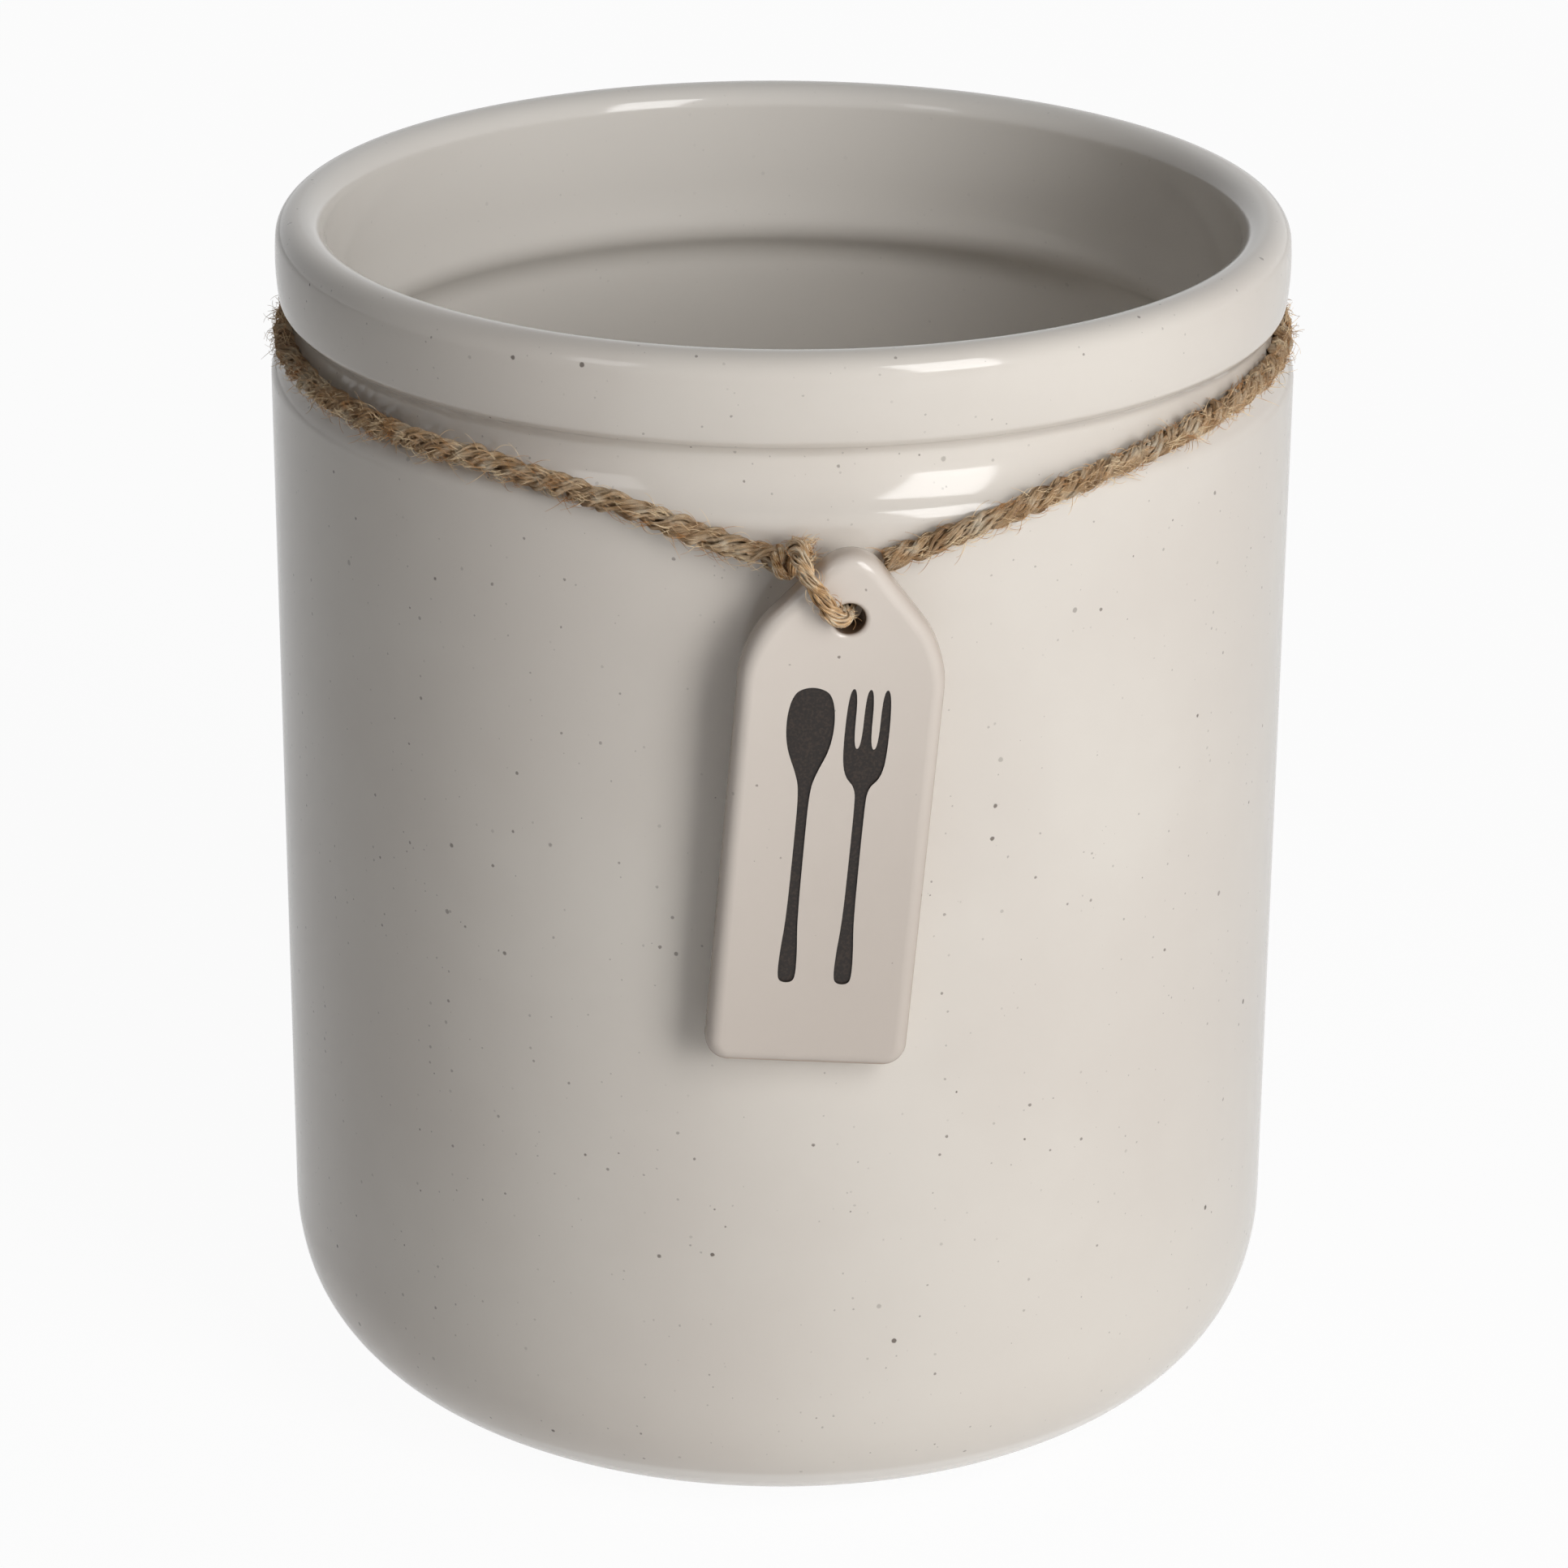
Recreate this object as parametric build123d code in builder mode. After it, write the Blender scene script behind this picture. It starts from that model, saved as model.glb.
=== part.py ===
"""Utensil crock: a stoneware crock with a grooved neck, a jute twine round the neck and a stoneware tag.

Millimetres. The origin is on the crock's axis in the plane that it stands on. +Z is up and the tag
hangs at the front, towards -Y. An azimuth is measured from the front, positive towards +X.
"""
import os
from math import acos, atan, cos, degrees, pi, radians, sin, sqrt, tan

from build123d import *

os.makedirs("parts", exist_ok=True)

# Crock, overall
crock_height = 172.5
body_radius = 71.5
body_wall = 5.9
floor_height = 7.6

# Crock, rim band and lip
rim_band_height = 14.1
rim_inset = 1.1
rim_wall = 6.8
band_bulge = 0.2
band_edge_arc = 1.8
lip_arc_share = 0.48

# Crock, groove under the band and shoulder below it
groove_depth = 3.3
groove_overhang = 2.0
groove_top_arc = 2.0
groove_arc = 9.2
shoulder_arc = 3.5

# Crock, ridge inside the neck
ridge_depth = 2.8
ridge_drop = 7.0
ridge_upper_arc = 25.0
ridge_arc = 4.0
ridge_lower_arc = 6.0

# Crock, heel in three arcs, each with its turn in degrees, then the sloping underside and foot ring
heel_arcs = ((30.6, 13.8), (20.6, 57.0), (18.6, 9.2))
inner_heel_arc = 18.0
underside_width = 3.1
underside_rise = 0.5
foot_step = 1.2
foot_width = 6.0
foot_edge = 0.5
base_recess = 1.5

# Twine, and the gaps that it keeps: to what it lies on, and at an end that turns
twine_diameter = 2.7
soft_gap = 0.3
end_gap = 0.15

# Tag
tag_width = 26.8
tag_thickness = 5.0
tag_above_hole = 11.2
tag_below_hole = 64.3
tag_gable_rise = 15.4
tag_apex_arc = 5.0
tag_shoulder_arc = 14.0
tag_corner_arc = 3.2
tag_face_round_share = 0.4
tag_back_round_share = 0.34
tag_hole_play = 1.4
tag_hole_round = 0.8

# Tag as it hangs: the azimuth where its back faces the wall, its slant in degrees, and its hole's
# place along the wall and below the groove
tag_azimuth = 5.0
tag_slant = 4.4
tag_hole_offset = 1.8
tag_hole_drop = 17.54

# Knot, with its bearing from the hole in degrees to the left of the tag's length
knot_radius = 2.3
knot_bearing = 50.5
knot_edge_room = 0.7
knot_wrap_wire = 0.95
knot_wrap_spread = 0.7
knot_wrap_tilt = 24.0
stub_radius = 0.8
stub_length = 3.6

# Where the twine's right arm meets the loop behind the tag
arm_end_azimuth = 9.3
arm_end_drop = 12.9

# Arcs at the loop's folds: over the tag's edge, into its hole and out behind it
loop_fold_arcs = (3.0, 3.0, 2.6)

# Arc of a tube at a point of its route, as a share of the shorter run beside it
route_arc_share = 0.45

# Neck twine's route from the knot, left round the back and on to the tag's right side. Each point is
# an azimuth, a share of the way out from the groove to the body wall, and a share of the way down
# from its seat in the groove to the foot of the shoulder.
groove_seat_drop = 1.1
neck_route_shares = (
    (-7.5, 1.08, 0.91),
    (-13.0, 0.97, 0.67),
    (-19.0, 0.72, 0.49),
    (-26.0, 0.45, 0.36),
    (-34.0, 0.31, 0.26),
    (-43.0, 0.29, 0.22),
    (-54.0, 0.31, 0.20),
    (-67.0, 0.35, 0.19),
    (-82.0, 0.35, 0.18),
    (-97.0, 0.36, 0.20),
    (-112.0, 0.35, 0.18),
    (-127.0, 0.36, 0.20),
    (-142.0, 0.35, 0.18),
    (-157.0, 0.36, 0.19),
    (-172.0, 0.37, 0.18),
    (-188.0, 0.38, 0.20),
    (-203.0, 0.35, 0.18),
    (-218.0, 0.36, 0.19),
    (-233.0, 0.35, 0.17),
    (-248.0, 0.35, 0.19),
    (-263.0, 0.34, 0.17),
    (-278.0, 0.34, 0.18),
    (-293.0, 0.33, 0.17),
    (-306.0, 0.32, 0.21),
    (-316.5, 0.38, 0.29),
    (-325.0, 0.57, 0.42),
    (-332.0, 0.88, 0.58),
    (-338.5, 1.07, 0.81),
    (-344.5, 1.07, 1.09),
)

# Radii and heights that follow
inner_radius = body_radius - body_wall
groove_radius = body_radius - groove_depth
rim_radius = body_radius - rim_inset
rim_inner_radius = rim_radius - rim_wall
lip_arc = lip_arc_share * rim_wall
ridge_radius = inner_radius - ridge_depth
groove_height = crock_height - rim_band_height
ridge_height = groove_height - ridge_drop
twine_radius = twine_diameter / 2
twine_seat = twine_radius + soft_gap

# Turns that follow
shoulder_turn = acos(1 - groove_depth / (shoulder_arc + groove_arc))
groove_top_turn = acos(1 - groove_overhang / (groove_top_arc + band_edge_arc))
ridge_upper_turn = acos(1 - (rim_inner_radius - ridge_radius) / (ridge_upper_arc + ridge_arc))
ridge_lower_turn = acos(1 - ridge_depth / (ridge_arc + ridge_lower_arc))
shoulder_height = groove_height - (shoulder_arc + groove_arc) * sin(shoulder_turn)
ridge_top_height = ridge_height + (ridge_upper_arc + ridge_arc) * sin(ridge_upper_turn)


def around(azimuth, radius, height):
    """A point at an azimuth from the front of the crock."""
    return Vector(radius * sin(radians(azimuth)), -radius * cos(radians(azimuth)), height)


def arc_radii(points):
    """The largest arcs that the runs of a cord's route allow, one for each corner."""
    radii = []
    for before, point, after in zip(points, points[1:], points[2:]):
        half_turn = radians((point - before).get_angle(after - point)) / 2
        shorter_run = min((point - before).length, (after - point).length)
        radii.append(route_arc_share * shorter_run / tan(half_turn))
    return radii


def report_tube(name, path, volume, radii):
    """Print a tube's length, its smallest arc, and its volume against section times length."""
    length = sum(edge.length for edge in path.edges())
    share = volume / (pi * twine_radius**2 * length)
    print(f"{name}: length {length:.1f}, least arc {min(radii):.2f}, volume share {share:.4f}")


# Size of the heel: how far its arcs reach down and in from the wall
heel_drop = 0
heel_inset = 0
turned = 0
for arc, turn in heel_arcs:
    heel_drop += arc * (sin(radians(turned + turn)) - sin(radians(turned)))
    heel_inset += arc * (cos(radians(turned)) - cos(radians(turned + turn)))
    turned += turn
heel_height = foot_step + underside_rise + heel_drop
foot_radius = body_radius - heel_inset - underside_width
foot_inner_radius = foot_radius - foot_width

# Crock: one turned wall with a foot ring, a broad round heel, a groove under a rounded rim band and a
# ridge inside the neck
with BuildPart() as crock:
    with BuildSketch(Plane.XZ):
        with BuildLine():
            recess = Line((0, base_recess), (foot_inner_radius, base_recess))
            foot = Polyline(
                recess @ 1,
                (foot_inner_radius, 0),
                (foot_radius, 0),
                (foot_radius, foot_step),
                (foot_radius + underside_width, foot_step + underside_rise),
            )
            wall = Line((body_radius, heel_height), (body_radius, shoulder_height))
            heel_point = wall @ 0
            heel_way = Vector(0, -1)
            for arc, turn in heel_arcs:
                heel = JernArc(heel_point, heel_way, arc, -turn)
                heel_point = heel @ 1
                heel_way = heel % 1
            shoulder = JernArc(wall @ 1, (0, 1), shoulder_arc, degrees(shoulder_turn))
            groove = JernArc(shoulder @ 1, shoulder % 1, groove_arc, -degrees(shoulder_turn))
            groove_top = JernArc(groove @ 1, (0, 1), groove_top_arc, -degrees(groove_top_turn))
            band_edge = JernArc(groove_top @ 1, groove_top % 1, band_edge_arc, degrees(groove_top_turn))
            lip_start = Vector(rim_radius, crock_height - lip_arc)
            band_middle = (band_edge @ 1 + lip_start) / 2 + Vector(band_bulge, 0)
            ThreePointArc(band_edge @ 1, band_middle, lip_start)
            lip_outside = JernArc(lip_start, (0, 1), lip_arc, 90)
            lip_top = Line(lip_outside @ 1, (rim_inner_radius + lip_arc, crock_height))
            lip_inside = JernArc(lip_top @ 1, (-1, 0), lip_arc, 90)
            mouth = Line(lip_inside @ 1, (rim_inner_radius, ridge_top_height))
            above_ridge = JernArc(mouth @ 1, (0, -1), ridge_upper_arc, -degrees(ridge_upper_turn))
            ridge = JernArc(above_ridge @ 1, above_ridge % 1, ridge_arc,
                            degrees(ridge_upper_turn + ridge_lower_turn))
            below_ridge = JernArc(ridge @ 1, ridge % 1, ridge_lower_arc, -degrees(ridge_lower_turn))
            inner_wall = Line(below_ridge @ 1, (inner_radius, floor_height + inner_heel_arc))
            inner_heel = JernArc(inner_wall @ 1, (0, -1), inner_heel_arc, -90)
            floor = Line(inner_heel @ 1, (0, floor_height))
            Line(floor @ 1, recess @ 0)
        make_face()
    revolve(axis=Axis.Z)
    foot_rims = crock.edges().filter_by(GeomType.CIRCLE).group_by(Axis.Z)[0]
    fillet(foot_rims, foot_edge)

# Plane of the tag's back: its origin is the hole's centre, x is across the tag, y is up along it and
# z points out of its face. The twine behind the hole holds the back off the wall, and the foot of the
# back lies against it.
tag_back_round = tag_back_round_share * tag_thickness
tag_face_round = tag_face_round_share * tag_thickness
tag_lean = atan((twine_diameter + soft_gap) / (tag_below_hole - tag_back_round))
upward = Vector(0, 0, 1)
outward = Vector(0, -1, 0).rotate(Axis.Z, tag_azimuth)
sideways = Vector(1, 0, 0).rotate(Axis.Z, tag_azimuth)
tag_normal = outward * cos(tag_lean) - upward * sin(tag_lean)
hole_centre = (
    outward * (body_radius + soft_gap + twine_diameter + soft_gap)
    + sideways * tag_hole_offset
    + upward * (groove_height - tag_hole_drop)
)
tag_across = sideways.rotate(Axis((0, 0, 0), tag_normal), -tag_slant)
tag_plane = Plane(origin=hole_centre, x_dir=tag_across, z_dir=tag_normal)

# Tag: a slab with a gabled top, a hole for the twine and soft glazed edges
tag_hole_radius = (twine_diameter + tag_hole_play) / 2
with BuildPart() as tag:
    with BuildSketch(tag_plane):
        with BuildLine():
            Polyline(
                (0, tag_above_hole),
                (-tag_width / 2, tag_above_hole - tag_gable_rise),
                (-tag_width / 2, -tag_below_hole),
                (tag_width / 2, -tag_below_hole),
                (tag_width / 2, tag_above_hole - tag_gable_rise),
                close=True,
            )
        make_face()
    slab = extrude(amount=tag_thickness)
    corners = slab.edges().filter_by(Axis(hole_centre, tag_normal))
    corners = corners.sort_by(lambda edge: edge.center().dot(tag_plane.y_dir))
    fillet(corners[0:2], tag_corner_arc)
    fillet(corners[2:4], tag_shoulder_arc)
    fillet(corners[4:5], tag_apex_arc)
    fillet(tag.faces().sort_by(lambda face: face.center().dot(tag_normal))[-1].edges(), tag_face_round)
    fillet(tag.faces().sort_by(lambda face: face.center().dot(tag_normal))[0].edges(), tag_back_round)
    with BuildSketch(tag_plane):
        Circle(tag_hole_radius)
    extrude(amount=tag_thickness, mode=Mode.SUBTRACT)
    fillet(tag.edges(Select.LAST).filter_by(GeomType.CIRCLE), tag_hole_round)

# Knot's place, beside the tag's gable and out from the wall, and the end of the twine's right arm
gable_slope = atan(tag_gable_rise / (tag_width / 2))
knot_reach = tag_above_hole * cos(gable_slope) + twine_seat + knot_edge_room
knot_plan = Vector(0, knot_reach).rotate(Axis.Z, knot_bearing)
knot_foot = tag_plane.from_local_coords(knot_plan)
knot_level = Vector(knot_foot.X, knot_foot.Y)
knot_shift = body_radius + soft_gap + knot_radius - knot_level.length
knot_centre = knot_foot + knot_level.normalized() * knot_shift
arm_end = around(arm_end_azimuth, body_radius + twine_seat, groove_height - arm_end_drop)

# Neck twine: from the knot along the shoulder, round the back in the groove, and down to the tag's
# right side
neck_points = []
for azimuth, climb, drop in neck_route_shares:
    radius = groove_radius + twine_seat + climb * groove_depth
    height = groove_height - groove_seat_drop - drop * (groove_height - shoulder_height)
    neck_points.append(around(azimuth, radius, height))
left_end = knot_centre + (neck_points[0] - knot_centre).normalized() * (knot_radius + end_gap)
right_end = arm_end + (neck_points[-1] - arm_end).normalized() * (twine_radius + end_gap)
neck_points = [left_end, *neck_points, right_end]
neck_radii = arc_radii(neck_points)
with BuildPart() as neck_twine:
    with BuildLine() as neck_path:
        FilletPolyline(*neck_points, radius=neck_radii)
    with BuildSketch(Plane(origin=neck_path.line @ 0, z_dir=neck_path.line % 0)):
        Circle(twine_radius)
    sweep()

# Tag loop: from inside the knot out over the tag's edge, down its face, through the hole and behind
# the tag to the right arm, where it ends in a round tip
face_level = Vector(0, 0, tag_thickness + twine_seat)
back_level = Vector(0, 0, -twine_seat)
loop_points = [
    knot_centre,
    tag_plane.from_local_coords(knot_plan + face_level),
    tag_plane.from_local_coords(face_level),
    tag_plane.from_local_coords(back_level),
    arm_end,
]
with BuildPart() as tag_loop:
    with BuildLine() as loop_path:
        FilletPolyline(*loop_points, radius=loop_fold_arcs)
    with BuildSketch(Plane(origin=loop_path.line @ 0, z_dir=loop_path.line % 0)):
        Circle(twine_radius)
    sweep()
    loop_volume = tag_loop.part.volume
    with Locations(arm_end):
        Sphere(twine_radius)

# Knot: two crossed wraps of the twine drawn tight on a core, and one short cut end
arm_way = (knot_centre - neck_points[1]).normalized()
stub_aim = tag_plane.from_local_coords(Vector(0, knot_plan.Y, 0) + back_level)
wrap_major = sqrt((knot_radius - knot_wrap_wire) ** 2 - knot_wrap_spread**2)
with BuildPart() as twine_knot:
    with Locations(knot_centre):
        Sphere(knot_radius - soft_gap)
    for side in (-1, 1):
        wrap_way = arm_way.rotate(Axis(knot_centre, tag_normal), side * knot_wrap_tilt)
        wrap_centre = knot_centre + arm_way * side * knot_wrap_spread
        with Locations(Plane(origin=wrap_centre, z_dir=wrap_way)):
            Torus(wrap_major, knot_wrap_wire)
    with BuildSketch(Plane(origin=knot_centre, z_dir=stub_aim - knot_centre)):
        Circle(stub_radius)
    extrude(amount=stub_length)

report_tube("neck_twine", neck_path, neck_twine.part.volume, neck_radii)
report_tube("tag_loop", loop_path, loop_volume, loop_fold_arcs)

pieces = {
    "crock": crock,
    "neck_twine": neck_twine,
    "twine_knot": twine_knot,
    "tag_loop": tag_loop,
    "tag": tag,
}
for name, piece in pieces.items():
    piece.part.label = name
    export_step(piece.part, f"parts/{name}.step")
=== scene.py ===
"""Utensil crock of glazed stoneware, with jute twine round its neck and a stoneware tag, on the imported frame."""
import math
import random

import bmesh
import bpy
from mathutils import Matrix, Vector, noise


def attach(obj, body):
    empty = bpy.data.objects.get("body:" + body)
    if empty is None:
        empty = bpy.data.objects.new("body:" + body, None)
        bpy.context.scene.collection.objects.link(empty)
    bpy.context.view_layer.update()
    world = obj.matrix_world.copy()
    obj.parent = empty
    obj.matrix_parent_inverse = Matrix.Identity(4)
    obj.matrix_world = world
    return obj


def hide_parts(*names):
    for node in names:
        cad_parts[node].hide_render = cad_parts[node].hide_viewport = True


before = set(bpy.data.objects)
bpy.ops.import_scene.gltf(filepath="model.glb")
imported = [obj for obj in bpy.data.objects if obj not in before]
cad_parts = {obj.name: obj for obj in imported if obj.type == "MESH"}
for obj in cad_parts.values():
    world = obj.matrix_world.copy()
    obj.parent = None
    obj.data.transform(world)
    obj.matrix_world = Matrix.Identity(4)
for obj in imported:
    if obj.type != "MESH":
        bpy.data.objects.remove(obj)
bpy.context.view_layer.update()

# Crock
# One slip-cast stoneware wall with a foot ring, a round heel, a groove under the rim band and a ridge
# inside the neck. It is dipped in a glossy off-white glaze with iron specks, and the foot ring is wiped
# bare before the firing.
MM = 0.001
crock_height, floor_height = 172.5, 7.6
body_radius, inner_radius = 71.5, 65.6
foot_inner_radius, foot_radius, foot_round, foot_recess = 45.4, 51.4, 0.5, 1.5
heel_start = (54.5, 1.7)
shoulder_height = 149.86
lip_round, lip_middle = 3.26, 66.86
neck_inside_radius, ridge_top = 63.6, 158.17
inside_heel_round = 18
ring_steps = 224

# Arcs of the turned profile, each a radius, a turn to the left in degrees and a number of steps
heel_arcs = ((18.6, 9.2, 3), (20.6, 57, 13), (30.6, 13.8, 4))
shoulder_arcs = ((3.5, 42.26, 7), (9.2, -42.26, 9))
band_arcs = ((2, -61.73, 7), (1.8, 54.09, 7), (37.55, 12.22, 5))
ridge_arcs = ((25, -13.49, 5), (4, 57.44, 9), (6, -43.95, 7))


def run_to(template, tip, x, z, cuts=1):
    """Carries a template's line straight on to a point, in a number of equal pieces."""
    start = tip.co.copy()
    for cut in range(cuts):
        tip = bmesh.ops.extrude_vert_indiv(template, verts=[tip])["verts"][0]
        tip.co = start.lerp(Vector((x, 0, z)) * MM, (cut + 1) / cuts)
    return tip


def arc_on(template, tip, heading, radius, turn, steps):
    """Carries a template's line on by an arc, to the left of its heading for a positive turn in degrees."""
    aim = math.radians(heading)
    to_left = Vector((-math.sin(aim), 0, math.cos(aim)))
    centre = tip.co + to_left * math.copysign(radius * MM, turn)
    arc = bmesh.ops.spin(
        template, geom=[tip], cent=centre, axis=(0, -1, 0), angle=math.radians(turn), steps=steps
    )
    return arc["geom_last"][0], heading + turn


def finish_mesh(mesh, name):
    """Turns a bmesh into a shown object with its faces outwards and smooth."""
    bmesh.ops.remove_doubles(mesh, verts=mesh.verts, dist=0.002 * MM)
    bmesh.ops.recalc_face_normals(mesh, faces=mesh.faces)
    data = bpy.data.meshes.new(name)
    mesh.to_mesh(data)
    mesh.free()
    data.shade_smooth()
    piece = bpy.data.objects.new(name, data)
    bpy.context.scene.collection.objects.link(piece)
    return piece


# Half of the crock's section, from the middle underneath, up the outside and down the inside
template = bmesh.new()
tip = template.verts.new(Vector((0, 0, foot_recess)) * MM)
tip = run_to(template, tip, foot_inner_radius, foot_recess, 6)
tip = run_to(template, tip, foot_inner_radius, foot_round)
tip, heading = arc_on(template, tip, -90, foot_round, 90, 4)
tip = run_to(template, tip, foot_radius - foot_round, 0, 2)
tip, heading = arc_on(template, tip, heading, foot_round, 90, 4)
tip = run_to(template, tip, foot_radius, 1.2)
tip = run_to(template, tip, *heel_start, 2)
heading = 10
for radius, turn, steps in heel_arcs:
    tip, heading = arc_on(template, tip, heading, radius, turn, steps)
tip = run_to(template, tip, body_radius, shoulder_height, 12)
heading = 90
for radius, turn, steps in shoulder_arcs + band_arcs:
    tip, heading = arc_on(template, tip, heading, radius, turn, steps)
tip, heading = arc_on(template, tip, heading, lip_round, 180 - heading, 11)
tip = run_to(template, tip, lip_middle, crock_height)
tip, heading = arc_on(template, tip, 180, lip_round, 90, 11)
tip = run_to(template, tip, neck_inside_radius, ridge_top)
heading = 270
for radius, turn, steps in ridge_arcs:
    tip, heading = arc_on(template, tip, heading, radius, turn, steps)
tip = run_to(template, tip, inner_radius, floor_height + inside_heel_round, 12)
tip, heading = arc_on(template, tip, 270, inside_heel_round, -90, 14)
tip = run_to(template, tip, 0, floor_height, 8)
bmesh.ops.spin(
    template, geom=template.verts[:] + template.edges[:], cent=(0, 0, 0), axis=(0, 0, 1),
    angle=math.tau, steps=ring_steps, use_merge=True,
)
crock = finish_mesh(template, "crock_body")


def add_node(tree, kind, setup=None, **sockets):
    """A node with its sockets set to values or joined to other sockets, and its options set."""
    made = tree.nodes.new(kind)
    for option, value in (setup or {}).items():
        setattr(made, option, value)
    for name, value in sockets.items():
        socket = made.inputs[int(name[1:]) if name[0] == "_" else name.replace("_", " ")]
        if isinstance(value, bpy.types.NodeSocket):
            tree.links.new(value, socket)
        else:
            socket.default_value = value
    return made


def math_on(tree, operation, first, second=0.0):
    """A number worked out from one or two others."""
    return add_node(tree, "ShaderNodeMath", {"operation": operation}, _0=first, _1=second).outputs[0]


def ramp_on(tree, value, low, high, start=0.0, end=1.0):
    """A number that goes smoothly from start to end as another goes from low to high."""
    return add_node(
        tree, "ShaderNodeMapRange", {"interpolation_type": "SMOOTHSTEP"}, Value=value,
        From_Min=low, From_Max=high, To_Min=start, To_Max=end,
    ).outputs[0]


def tint_on(tree, share, first, second):
    """A colour between two others."""
    return add_node(tree, "ShaderNodeMix", {"data_type": "RGBA"}, _0=share, _6=first, _7=second).outputs[2]


def length_on(tree, first, second):
    """The length of a diagonal over two numbers."""
    squares = [math_on(tree, "MULTIPLY", side, side) for side in (first, second)]
    return math_on(tree, "SQRT", math_on(tree, "ADD", *squares))


def paint(red, green, blue):
    """A colour written as on a paint card, from 0 to 255."""
    channels = [c / 255 / 12.92 if c < 11 else ((c / 255 + 0.055) / 1.055) ** 2.4 for c in (red, green, blue)]
    return (*channels, 1.0)


def new_group(name, inputs, outputs):
    """An empty node group with number, vector and colour sockets."""
    group = bpy.data.node_groups.new(name, "ShaderNodeTree")
    for socket, kind, default in inputs:
        made = group.interface.new_socket(socket, in_out="INPUT", socket_type=f"NodeSocket{kind}")
        if default is not None:
            made.default_value = default
    for socket, kind in outputs:
        group.interface.new_socket(socket, in_out="OUTPUT", socket_type=f"NodeSocket{kind}")
    start = group.nodes.new("NodeGroupInput")
    end = group.nodes.new("NodeGroupOutput")
    return group, start, end


# Iron specks that melt out of the clay through the glaze: round, brown-black, a few tenths of a
# millimetre across, some sharp and some faint
specks, start, end = new_group(
    "iron_specks",
    [("Vector", "Vector", None), ("Cell", "Float", 3.3), ("Size", "Float", 0.3), ("Share", "Float", 0.6)],
    [("Mask", "Float")],
)
per_cell = math_on(specks, "DIVIDE", 1000.0, start.outputs["Cell"])
ragged = add_node(specks, "ShaderNodeTexNoise", Vector=start.outputs["Vector"], Scale=2600.0, Detail=1.0)
shaken = add_node(specks, "ShaderNodeVectorMath", {"operation": "SCALE"}, _0=ragged.outputs["Color"], Scale=0.00016)
moved = add_node(specks, "ShaderNodeVectorMath", {"operation": "ADD"}, _0=start.outputs["Vector"],
                 _1=shaken.outputs[0])
cells = add_node(specks, "ShaderNodeTexVoronoi", Vector=moved.outputs[0], Scale=per_cell)
chance = add_node(specks, "ShaderNodeSeparateColor", Color=cells.outputs["Color"])
away = math_on(specks, "MULTIPLY", cells.outputs["Distance"], start.outputs["Cell"])
widest = math_on(specks, "MULTIPLY", start.outputs["Size"], ramp_on(specks, chance.outputs[1], 0.0, 1.0, 0.35, 1.0))
inside = ramp_on(specks, math_on(specks, "DIVIDE", away, widest), 0.6, 1.0, 1.0, 0.0)
kept = math_on(specks, "LESS_THAN", chance.outputs[0], start.outputs["Share"])
darkness = ramp_on(specks, chance.outputs[2], 0.0, 1.0, 0.3, 1.0)
mask = math_on(specks, "MULTIPLY", math_on(specks, "MULTIPLY", inside, kept), darkness)
specks.links.new(mask, end.inputs["Mask"])

# Surface of the fired glaze: slow waves from the dipping and a fine orange peel
glaze_skin, start, end = new_group(
    "glaze_skin",
    [("Vector", "Vector", None), ("Waves", "Float", 0.05), ("Peel", "Float", 0.004)],
    [("Height", "Float"), ("Cloud", "Float")],
)
slow = add_node(glaze_skin, "ShaderNodeTexNoise", Vector=start.outputs["Vector"], Scale=38.0, Detail=1.5)
fine = add_node(glaze_skin, "ShaderNodeTexNoise", Vector=start.outputs["Vector"], Scale=620.0, Detail=2.0)
cloud = add_node(glaze_skin, "ShaderNodeTexNoise", Vector=start.outputs["Vector"], Scale=21.0, Detail=4.0)
waves = math_on(glaze_skin, "MULTIPLY", slow.outputs[0], start.outputs["Waves"])
peel = math_on(glaze_skin, "MULTIPLY", fine.outputs[0], start.outputs["Peel"])
glaze_skin.links.new(math_on(glaze_skin, "ADD", waves, peel), end.inputs["Height"])
glaze_skin.links.new(cloud.outputs[0], end.inputs["Cloud"])


def glaze_tree(name, roughness):
    """A material with its shader and the object's own coordinates."""
    material = bpy.data.materials.new(name)
    material.use_nodes = True
    tree = material.node_tree
    shader = tree.nodes["Principled BSDF"]
    shader.inputs["Roughness"].default_value = roughness
    shader.inputs["IOR"].default_value = 1.5
    place = tree.nodes.new("ShaderNodeTexCoord").outputs["Object"]
    return material, tree, shader, place


def group_in(tree, group, **sockets):
    """A node group placed in a material."""
    made = tree.nodes.new("ShaderNodeGroup")
    made.node_tree = group
    for name, value in sockets.items():
        if isinstance(value, bpy.types.NodeSocket):
            tree.links.new(value, made.inputs[name])
        else:
            made.inputs[name].default_value = value
    return made


def speckled(tree, place, colour, layers):
    """A colour with layers of specks over it, each a cell and a size in millimetres, a share and a strength."""
    for cell, size, share, strength in layers:
        spots = group_in(tree, specks, Vector=place, Cell=cell, Size=size, Share=share)
        colour = tint_on(tree, math_on(tree, "MULTIPLY", spots.outputs["Mask"], strength), colour, speck_colour)
    return colour


def set_bump(tree, shader, height, distance=MM):
    """Lets a height raise and lower a material's surface."""
    bump = add_node(tree, "ShaderNodeBump", Strength=1.0, Distance=distance, Height=height)
    tree.links.new(bump.outputs[0], shader.inputs["Normal"])


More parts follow.
